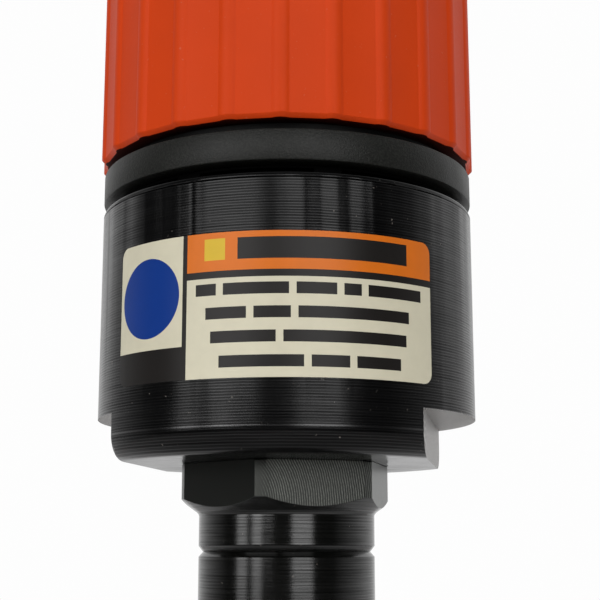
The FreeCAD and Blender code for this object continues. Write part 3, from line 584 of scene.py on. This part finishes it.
def widest(nodeName):
    low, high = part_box(nodeName)
    return max(high.x, -low.x) / mm


swivelEnd = ends("inlet_swivel")[1]
bushingLow, bushingEnd = ends("inlet_bushing")
housingLow, housingEnd = ends("valve_housing")
ringBottom, ringTop = ends("exhaust_ring")
gripLow, gripTop = ends("grip_sleeve")
tubeLow, tubeEnd = ends("motor_housing")
capLow, capEnd = ends("front_cap")
nutLow, nutEnd = ends("collet_nut")
bodyR = widest("exhaust_ring")


# ---- inlet swivel

swivel = dict(neck=10.15, rear=0.6, groove=0.5, joint=16.1, spigot=7.0, bore=4.0, thread=5.7, threadEnd=11.0,
              pitch=1.34, threadDeep=0.62, flats=8.5, flatsTall=7.0)


def makeInletSwivel():
    s = swivel
    profile = [(s["bore"], swivelEnd), (s["bore"], s["threadEnd"] + 1.0), (s["thread"], s["threadEnd"])]
    turns = int((s["threadEnd"] - 1.2) / s["pitch"])
    for i in range(turns):
        foot = s["threadEnd"] - 0.4 - i * s["pitch"]
        profile += [(s["thread"], foot), (s["thread"] + s["threadDeep"], foot - s["pitch"] / 2),
                    (s["thread"], foot - s["pitch"] * 0.94)]
    profile += [(s["thread"], 0.7), (s["thread"] + 0.7, 0.0), (s["neck"] - s["rear"], 0.0)]
    profile += cornerArc((s["neck"] - s["rear"], s["rear"]), s["rear"], -75, 0, 5)
    profile += [(s["neck"], s["rear"] + 0.2), (s["neck"], s["joint"] - s["groove"] - 0.2),
                (s["neck"], s["joint"] - s["groove"] - 0.06), (s["neck"] - 0.05, s["joint"] - s["groove"]),
                (s["neck"] - s["groove"], s["joint"]), (s["spigot"], s["joint"]),
                (s["spigot"], swivelEnd - 0.4), (s["spigot"] - 0.4, swivelEnd)]
    piece = turnPiece("inletSwivel", profile)
    carve(piece, sideBlocks(s["flats"], s["neck"] + 4, -1, s["flatsTall"]))
    roundEdges(piece, 0.09, 50)
    return finishPiece(piece, neckFinish, "inlet_swivel", "dark_steel", "inlet_swivel", smooth=12)


makeInletSwivel()
print("swivel made")


# ---- inlet bushing

bushing = dict(neck=10.15, groove=0.5, coneLow=20.4, coneAngle=35.0, corner=12.35, hexAcross=22.0, hexTurn=26.7,
               stub=9.0, bore=5.0, screenRim=1.0, socket=7.05, socketEnd=25.25, seam=0.01)


def makeInletBushing():
    b = bushing
    cone = (b["corner"] - b["neck"]) * math.tan(math.radians(b["coneAngle"]))
    wall, coneLow, seatLow = b["neck"], b["coneLow"], housingLow - b["seam"]
    low = swivel["joint"] + b["seam"]           # closes the joint to light
    wallLow = bushingLow + b["groove"]
    profile = [(b["socket"], low), (wall - b["groove"], low), (wall - 0.05, wallLow), (wall, wallLow + 0.06),
               (wall, wallLow + 0.2)]
    profile += [(wall, coneLow - 0.4), (wall, coneLow - 0.25), (wall + 0.07, coneLow - 0.06),
                (wall + 0.25, coneLow + 0.15), (b["corner"], coneLow + cone), (b["corner"], housingLow - 0.12),
                (b["corner"] - 0.12, seatLow), (b["stub"], seatLow)]
    mouth = b["bore"] + b["screenRim"]
    profile += [(b["stub"], bushingEnd - 0.5), (b["stub"] - 0.5, bushingEnd), (mouth, bushingEnd),
                (mouth, bushingEnd - 0.5), (b["bore"], bushingEnd - 0.5), (b["bore"], b["socketEnd"]),
                (b["socket"], b["socketEnd"])]
    piece = turnPiece("inletBushing", profile, 180)
    carve(piece, [hexBar("cutter", b["hexAcross"], bushingLow - 2, bushingEnd + 2, b["hexTurn"])], "INTERSECT")
    roundEdges(piece, 0.11, 32)
    piece = finishPiece(piece, hexFinish, "tool_body", "dark_steel", "inlet_bushing", smooth=12)
    piece.data.materials.append(neckFinish)
    for face in piece.data.polygons:
        onCone = -0.97 < face.normal.z < -0.3 and face.center.z < (coneLow + cone) * mm
        if onCone or math.hypot(face.center.x, face.center.y) < (wall + 0.02) * mm:
            face.material_index = 1
    return piece


makeInletBushing()
print("bushing made")


# ---- valve housing

housing = dict(fillet=2.75, socket=9.0, socketEnd=37.0, drillTip=2.4, topEdge=0.4, vAt=0.62, vDeep=0.13,
               flats=17.0, flatsTall=5.0, spigot=20.0, spigotTall=1.15, thread=18.5, pitch=1.25,
               threadDeep=0.5, chamber=17.05, chamberFloor=3.25, post=13.5, recess=6.5, recessDeep=1.5,
               valveR=6.5, valveEnd=-7.0, ports=8, portWide=12.5, portLow=0.25, portTall=0.65)
ears = dict(pivotY=25.5, pivotZ=32.0, slot=6.35, out=9.35, end=4.5, root=16.0, hole=1.5)
turningGap = 0.1                # housing to the ring that turns on it
housingTop = ringBottom - turningGap


def makeValveHousing():
    h = housing
    shoulder = housingTop + h["spigotTall"]
    floor = housingTop - h["chamberFloor"]
    profile = [(0, h["socketEnd"] + h["drillTip"]), (h["socket"], h["socketEnd"]), (h["socket"], housingLow)]
    profile += cornerArc((bodyR - h["fillet"], housingLow + h["fillet"]), h["fillet"], -90, 0, 10)
    vee = housingTop - h["vAt"]
    profile += [(bodyR, vee - 0.11), (bodyR - h["vDeep"], vee), (bodyR, vee + 0.11),
                (bodyR, housingTop - h["topEdge"]), (bodyR - 0.12, housingTop - 0.13),
                (bodyR - h["topEdge"], housingTop), (h["spigot"], housingTop),
                (h["spigot"], shoulder), (h["thread"], shoulder)]
    rise = shoulder + 0.6
    while rise + h["pitch"] < housingEnd - 0.6:
        profile += [(h["thread"], rise), (h["thread"] - h["threadDeep"], rise + h["pitch"] / 2),
                    (h["thread"], rise + h["pitch"] * 0.94)]
        rise += h["pitch"]
    profile += [(h["thread"], housingEnd - 0.5), (h["thread"] - 0.5, housingEnd), (h["chamber"], housingEnd),
                (h["chamber"], floor), (h["post"], floor), (h["post"], housingEnd), (h["recess"], housingEnd),
                (h["recess"], housingEnd - h["recessDeep"]), (0, housingEnd - h["recessDeep"])]
    piece = turnPiece("valveHousing", profile, 192)
    e = ears
    block = blockAt("earBlock", (-e["out"], e["root"], e["pivotZ"] - e["end"]),
                    (e["out"], e["pivotY"], e["pivotZ"] + e["end"]))
    carve(piece, [block, barAlongX("earEnd", e["end"], e["out"], e["pivotY"], e["pivotZ"], 64)], "UNION")
    gap = blockAt("earGap", (-e["slot"], bodyR - 0.02, e["pivotZ"] - 9),
                  (e["slot"], bodyR + 10, e["pivotZ"] + 9))
    far = bodyR + 6
    cutters = [gap, barAlongX("pinHole", e["hole"], far, e["pivotY"], e["pivotZ"])]
    cutters += sideBlocks(h["flats"], far, housingLow - 2, housingLow + h["flatsTall"])
    valveZ = sum(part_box("valve_plug")[i].z for i in (0, 1)) / 2 / mm
    bpy.ops.object.select_all(action="DESELECT")
    bpy.ops.mesh.primitive_cylinder_add(vertices=64, radius=h["valveR"] * mm, depth=(far - h["valveEnd"]) * mm,
                                        location=(0, (far + h["valveEnd"]) / 2 * mm, valveZ * mm),
                                        rotation=(math.pi / 2, 0, 0))
    valveBore = bpy.context.object
    setPlace()
    cutters.append(valveBore)
    for i in range(h["ports"]):
        port = blockAt("port", (-h["portWide"] / 2, h["post"] + 1, housingTop + h["portLow"]),
                       (h["portWide"] / 2, h["spigot"] + 1, housingTop + h["portLow"] + h["portTall"]))
        cutters.append(turnAboutAxis(port, 360 * i / h["ports"]))
    carve(piece, cutters)
    roundEdges(piece, 0.1, 48)
    piece = finishPiece(piece, housingFinish, "tool_body", "black_housing", "valve_housing", smooth=34)
    piece.data.materials.append(flatFinish)
    piece.data.materials.append(paintedSlotShade)
    for face in piece.data.polygons:
        # faces inside the exhaust slot get the painted shade
        inSlot = math.hypot(face.center.x, face.center.y) < (h["spigot"] + 1.0) * mm
        if inSlot and face.center.z > (housingTop - 0.05) * mm:
            face.material_index = 2
        low = face.center.z < (housingLow + h["flatsTall"] + 0.15) * mm
        onFlat = abs(face.normal.x) > 0.98 and abs(abs(face.center.x) - h["flats"] * mm) < 0.05 * mm
        onLedge = face.normal.z < -0.98 and abs(face.center.z - (housingLow + h["flatsTall"]) * mm) < 0.05 * mm
        if low and (onFlat or onLedge):
            face.material_index = 1
    return piece


makeValveHousing()
print("housing made")


# ---- exhaust ring

exhaustRing = dict(tall=3.45, lowEdge=0.2, topEdge=0.15, ride=20.05, lip=18.55, lipTall=0.75,
                   baffleIn=20.15, baffleOut=21.05, baffleFrom=4.0, join=0.3)


def makeExhaustRing():
    r = exhaustRing
    low = ringTop - r["tall"]
    profile = [(r["lip"], low), (bodyR - r["lowEdge"], low), (bodyR - 0.06, low + 0.06),
               (bodyR, low + r["lowEdge"]), (bodyR, ringTop - r["topEdge"]), (bodyR - 0.05, ringTop - 0.05),
               (bodyR - r["topEdge"], ringTop), (r["ride"], ringTop), (r["ride"], low + r["lipTall"]),
               (r["lip"], low + r["lipTall"])]
    piece = turnPiece("exhaustRing", profile, 192)
    start = math.asin(r["baffleFrom"] / r["baffleOut"])
    corners = [(r["baffleIn"], ringBottom), (r["baffleOut"], ringBottom), (r["baffleOut"], low + r["join"]),
               (r["baffleIn"], low + r["join"])]
    points = [Vector((x * math.cos(start) * mm, x * math.sin(start) * mm, z * mm)) for x, z in corners]
    baffle = startPoint("baffle", points[0])
    drawOutline(points + points[:1])
    joinPoints()
    bpy.ops.mesh.edge_face_add()
    bpy.ops.mesh.spin(steps=80, angle=2 * start - math.pi, center=(0, 0, 0), axis=(0, 0, 1))
    tidyMesh()
    carve(piece, [baffle], "UNION")
    return finishPiece(piece, ringFinish, "exhaust_ring", "black_ring", "exhaust_ring")


makeExhaustRing()
print("ring made")


# ---- grip sleeve

grip = dict(ribs=24, ribAngle=5.0, crest=22.5, ribHigh=0.32, first=8.0, bore=20.0, chamfer=0.45, softEdge=0.055)


def makeGripSleeve():
    g = grip
    pitch = 360 / g["ribs"]
    half = g["ribAngle"] / 2
    edge = g["crest"] - g["ribHigh"]
    crown = []
    chord = edge * math.sin(math.radians(half))
    sag = g["crest"] - edge * math.cos(math.radians(half))
    arcR = (chord ** 2 + sag ** 2) / (2 * sag)
    sweep = math.degrees(math.asin(chord / arcR))
    for i in range(9):                       # across one rib
        a = math.radians(-sweep + 2 * sweep * i / 8)
        across, out = arcR * math.sin(a), g["crest"] - arcR + arcR * math.cos(a)
        crown.append((math.degrees(math.atan2(across, out)) + g["first"], math.hypot(across, out)))
    crown.append((g["first"] + pitch - half, edge))
    points = [aroundAxis(angle, radius * mm, gripLow * mm) for angle, radius in crown]
    piece = startPoint("gripSleeve", points[0])
    drawOutline(points)
    bpy.ops.mesh.select_all(action="SELECT")
    bpy.ops.mesh.spin(steps=g["ribs"], dupli=True, angle=2 * math.pi, center=(0, 0, 0), axis=(0, 0, 1))
    joinPoints(0.01)
    inward = (g["crest"] - g["chamfer"]) / g["crest"]
    bpy.ops.transform.resize(value=(inward, inward, 1), center_override=(0, 0, gripLow * mm))
    for rise, scale in ((g["chamfer"], 1 / inward), (gripTop - gripLow - 2 * g["chamfer"], 1.0),
                        (g["chamfer"], inward)):
        bpy.ops.mesh.extrude_region_move(TRANSFORM_OT_translate={"value": (0, 0, rise * mm)})
        bpy.ops.transform.resize(value=(scale, scale, 1), center_override=(0, 0, 0))
    bpy.ops.mesh.edge_face_add()
    bpy.ops.mesh.select_all(action="DESELECT")
    bpy.ops.object.mode_set(mode="OBJECT")
    for line in piece.data.edges:
        line.select = all(piece.data.vertices[v].co.z < (gripLow + 0.01) * mm for v in line.vertices)
    bpy.ops.object.mode_set(mode="EDIT")
    bpy.ops.mesh.edge_face_add()
    tidyMesh()
    low, high = gripLow - 3, gripTop + 3
    bore = turnPiece("bore", [(0, low), (g["bore"], low), (g["bore"], high), (0, high)], 180)
    carve(piece, [bore])
    roundEdges(piece, g["softEdge"], 24)
    piece = finishPiece(piece, gripFinish, "tool_body", "red_grip", "grip_sleeve", smooth=26)
    piece.data.materials.append(paintedUndersideShade)
    # downward faces get the painted shade of the recess
    for face in piece.data.polygons:
        if face.normal.z < -0.9:
            face.material_index = 1
    return piece


makeGripSleeve()
print("grip made")


# ---- motor housing

tube = dict(outside=20.0, bore=17.0, collar=22.0, joint=18.5, jointEnd=66.4, backEdge=0.6, frontEdge=0.8,
            flats=19.0, flatsTall=5.5)


def makeMotorHousing():
    t = tube
    profile = [(t["joint"], tubeLow), (t["outside"], tubeLow), (t["outside"], gripTop),
               (t["collar"] - t["backEdge"], gripTop)]
    profile += cornerArc((t["collar"] - t["backEdge"], gripTop + t["backEdge"]), t["backEdge"], -75, 0, 4)
    profile += cornerArc((t["collar"] - t["frontEdge"], tubeEnd - t["frontEdge"]), t["frontEdge"], 0, 90, 5)
    profile += [(t["bore"], tubeEnd), (t["bore"], t["jointEnd"] + 0.6), (t["joint"], t["jointEnd"])]
    piece = turnPiece("motorHousing", profile, 180)
    carve(piece, sideBlocks(t["flats"], t["collar"] + 3, tubeEnd - t["flatsTall"], tubeEnd + 2))
    roundEdges(piece, 0.12, 50)
    return finishPiece(piece, finishes["tube_steel"], "tool_body", "tube_steel", "motor_housing")


makeMotorHousing()
print("motor housing made")


# ---- front cap

frontCap = dict(hexAcross=34.0, hexCorner=19.0, hexTall=7.0, nose=15.5, noseTall=10.0, front=12.0,
                thread=17.0, room=10.0, hole=9.3, seal=11.0, sealBack=1.5, sealTall=3.0, pocketEnd=162.0)


def makeFrontCap():
    c = frontCap
    hexTop = tubeEnd + c["hexTall"]
    noseTop = hexTop + c["noseTall"]
    sealLow = capEnd - c["sealBack"] - c["sealTall"]
    head = turnPiece("frontCap", [(0, tubeEnd), (c["hexCorner"], tubeEnd), (c["hexCorner"], hexTop - 1),
                                  (c["hexCorner"] - 1.5, hexTop), (0, hexTop)], 144)
    carve(head, [hexBar("hexagon", c["hexAcross"], tubeEnd - 1, hexTop + 1)], "INTERSECT")
    nose = [(0, capLow), (c["thread"], capLow), (c["thread"], tubeEnd + 0.01), (c["nose"], tubeEnd + 0.01)]
    nose += [(c["nose"], hexTop + 0.5), (c["nose"] - 0.35, hexTop + 0.7), (c["nose"] - 0.35, hexTop + 1.3),
             (c["nose"], hexTop + 1.5), (c["nose"], noseTop)]
    nose += [(c["front"] + 0.2, capEnd - 0.15), (c["front"], capEnd), (0, capEnd)]
    carve(head, [turnPiece("nose", nose, 144)], "UNION")
    room = [(0, capLow - 2), (c["seal"], capLow - 2), (c["seal"], c["pocketEnd"]), (c["room"], c["pocketEnd"]),
            (c["room"], sealLow - 1.5), (c["hole"], sealLow - 1.5), (c["hole"], sealLow), (c["seal"], sealLow),
            (c["seal"], sealLow + c["sealTall"]), (c["hole"], sealLow + c["sealTall"]), (c["hole"], capEnd + 2),
            (0, capEnd + 2)]
    carve(head, [turnPiece("room", room, 144)])
    roundEdges(head, 0.12, 40)
    return finishPiece(head, finishes["bright_steel"], "tool_body", "bright_steel", "front_cap")


makeFrontCap()
print("front cap made")


# ---- collet nut

nut = dict(hexAcross=19.0, corner=10.72, hexEnd=187.0, nose=8.2, noseEdge=1.2, bore=7.55, boreEnd=186.2,
           face=5.7, faceEnd=187.1, mouth=4.3, mouthAt=189.1)


def makeColletNut():
    n = nut
    outside = [(0, nutLow), (n["corner"] - 1.2, nutLow), (n["corner"], nutLow + 0.7),
               (n["corner"], n["hexEnd"] - 0.7), (n["corner"] - 1.2, n["hexEnd"]), (0, n["hexEnd"])]
    piece = turnPiece("colletNut", outside, 144)
    carve(piece, [hexBar("hexagon", n["hexAcross"], nutLow - 1, n["hexEnd"] + 1)], "INTERSECT")
    nose = [(0, n["hexEnd"] - 2), (n["nose"], n["hexEnd"] - 2)]
    nose += cornerArc((n["nose"] - n["noseEdge"], nutEnd - n["noseEdge"]), n["noseEdge"], 0, 90, 6)
    nose += [(0, nutEnd)]
    carve(piece, [turnPiece("nose", nose, 144)], "UNION")
    room = [(0, nutLow - 2), (n["bore"], nutLow - 2), (n["bore"], n["boreEnd"]), (n["face"], n["boreEnd"]),
            (n["face"], n["faceEnd"]), (n["mouth"], n["mouthAt"]), (n["mouth"], nutEnd - 0.3),
            (n["mouth"] + 0.8, nutEnd + 0.5), (0, nutEnd + 0.5)]
    carve(piece, [turnPiece("room", room, 144)])
    roundEdges(piece, 0.09, 40)
    return finishPiece(piece, hexFinish, "collet_nut", "dark_steel", "collet_nut")


makeColletNut()
print("nut made")


# ---- valve spring

spring = dict(wire=0.7, turns=5, stroke=1.9)


def makeValveSpring():
    low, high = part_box("valve_spring")
    half = spring["wire"] / 2 * mm
    radius = (high.x - low.x) / 2 - half
    length = high.y - low.y
    bpy.ops.object.select_all(action="DESELECT")
    bpy.ops.mesh.primitive_circle_add(vertices=16, radius=half, fill_type="NOTHING", location=(radius, 0, 0))
    piece = bpy.context.object
    piece.name = "valveSpring"
    setPlace()
    useModifier(piece, "SCREW", axis="Y", iterations=spring["turns"], steps=36, render_steps=36,
                screw_offset=(length - 2 * half) / spring["turns"])
    piece.location = ((low.x + high.x) / 2, low.y + half, (low.z + high.z) / 2)
    setPlace()
    bpy.ops.object.mode_set(mode="EDIT")
    bpy.ops.mesh.select_all(action="SELECT")
    bpy.ops.mesh.fill_holes(sides=0)
    tidyMesh()
    finishPiece(piece, finishes["bright_steel"], "tool_body", "bright_steel", "valve_spring")
    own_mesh(piece)


makeValveSpring()
print("spring made")
